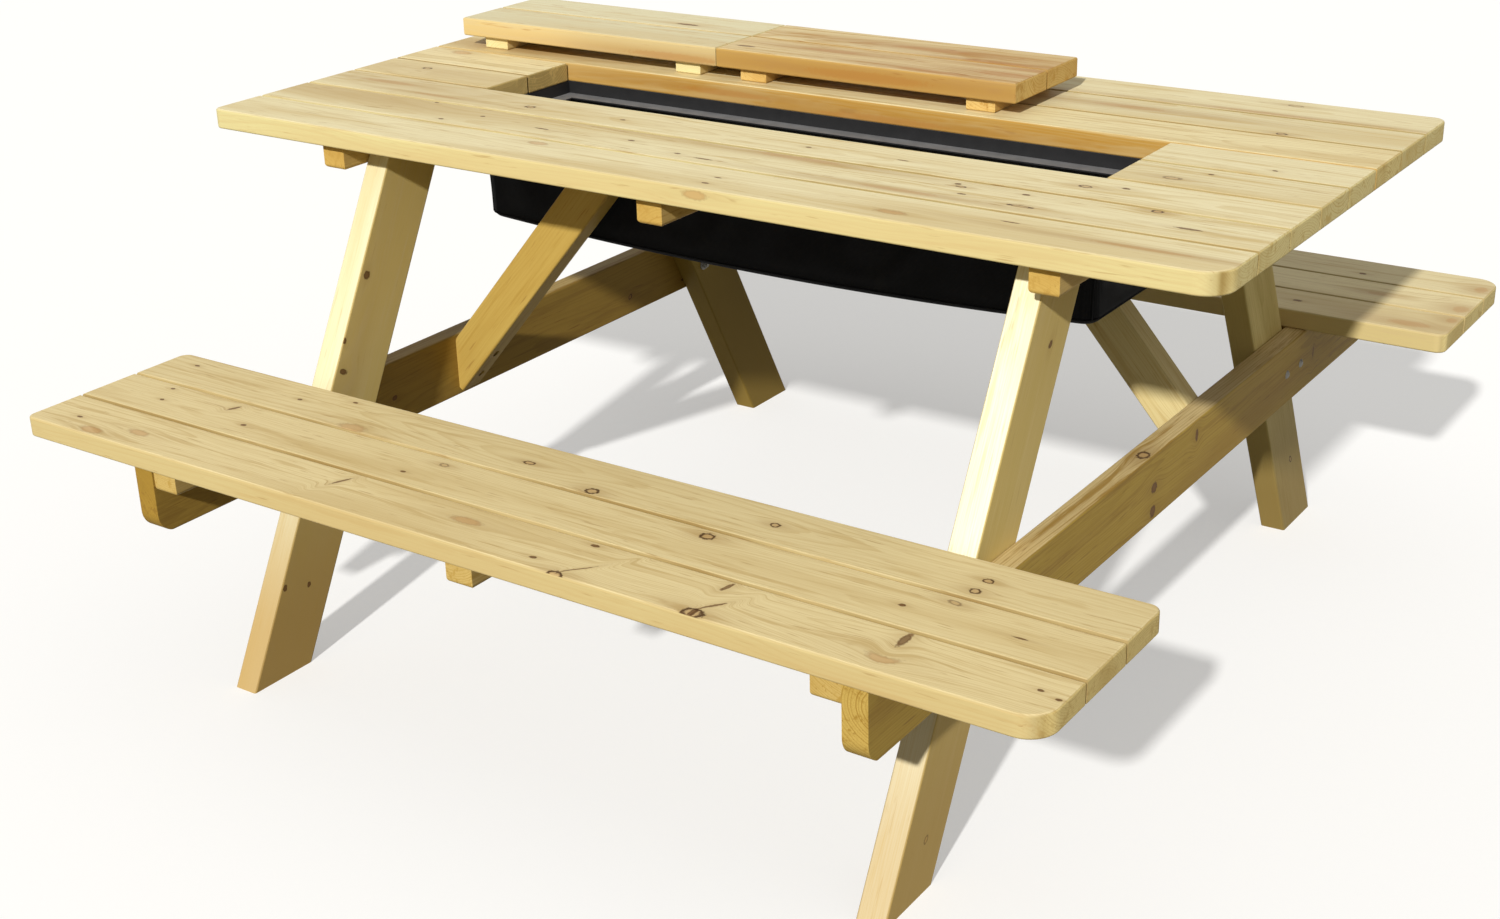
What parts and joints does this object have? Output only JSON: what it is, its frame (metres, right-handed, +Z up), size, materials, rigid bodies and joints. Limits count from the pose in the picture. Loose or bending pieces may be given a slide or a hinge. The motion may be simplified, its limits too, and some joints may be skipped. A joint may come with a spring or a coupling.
{
  "type": "picnic table with cooler",
  "caption": "Timber picnic table with two fixed benches and an insulated cooler bag hung in a lidded slot along the middle of the top.",
  "frame": {"origin": "on the floor under the middle of the table", "axes": "+X along the boards to the right, +Y from the front bench to the rear bench, +Z up"},
  "size_m": [1.5, 1.51, 0.766],
  "materials": {
    "timber": "planed, untreated softwood, matt",
    "black_steel": "satin black powder coat",
    "zinc_steel": "zinc plated",
    "bag_fabric": "matt woven polyester",
    "bag_foam": "closed-cell foam",
    "bag_liner": "satin welded film"
  },
  "bodies": {
    "root": {"tabletop_board_1": "timber", "tabletop_board_2": "timber", "tabletop_board_3": "timber", "tabletop_board_4_left": "timber", "tabletop_board_4_right": "timber", "tabletop_board_5_left": "timber", "tabletop_board_5_right": "timber", "tabletop_board_6": "timber", "tabletop_board_7": "timber", "tabletop_board_8": "timber", "table_cleat_left": "timber", "table_cleat_right": "timber", "table_cleat_middle_front": "timber", "table_cleat_middle_rear": "timber", "leg_front_left": "timber", "leg_front_right": "timber", "leg_rear_left": "timber", "leg_rear_right": "timber", "seat_beam_left": "timber", "seat_beam_right": "timber", "brace_left": "timber", "brace_right": "timber", "bench_front_board_1": "timber", "bench_front_board_2": "timber", "bench_front_board_3": "timber", "bench_rear_board_1": "timber", "bench_rear_board_2": "timber", "bench_rear_board_3": "timber", "bench_front_cleat_left": "timber", "bench_front_cleat_middle": "timber", "bench_front_cleat_right": "timber", "bench_rear_cleat_left": "timber", "bench_rear_cleat_middle": "timber", "bench_rear_cleat_right": "timber", "cooler_rail_front": "black_steel", "cooler_rail_rear": "black_steel", "cooler_rail_left": "black_steel", "cooler_rail_right": "black_steel", "cooler_bag": "bag_fabric", "cooler_foam": "bag_foam", "cooler_liner": "bag_liner", "frame_bolts": "zinc_steel", "frame_washers": "zinc_steel", "frame_nuts": "zinc_steel", "tabletop_screws": "zinc_steel", "bench_screws": "zinc_steel", "rail_screws": "zinc_steel", "brace_screws": "zinc_steel"},
    "lid_left": {"lid_left_board_front": "timber", "lid_left_board_rear": "timber", "lid_left_batten_left": "timber", "lid_left_batten_right": "timber", "lid_left_screws": "zinc_steel"},
    "lid_right": {"lid_right_board_front": "timber", "lid_right_board_rear": "timber", "lid_right_batten_left": "timber", "lid_right_batten_right": "timber", "lid_right_screws": "zinc_steel"}
  },
  "joints": [
    {"name": "lid_left_lift", "type": "slide", "parent": "root", "child": "lid_left", "axis": [0, 0, 1], "range_m": [0, 0.3]},
    {"name": "lid_right_lift", "type": "slide", "parent": "root", "child": "lid_right", "axis": [0, 0, 1], "range_m": [0, 0.3]}
  ]
}
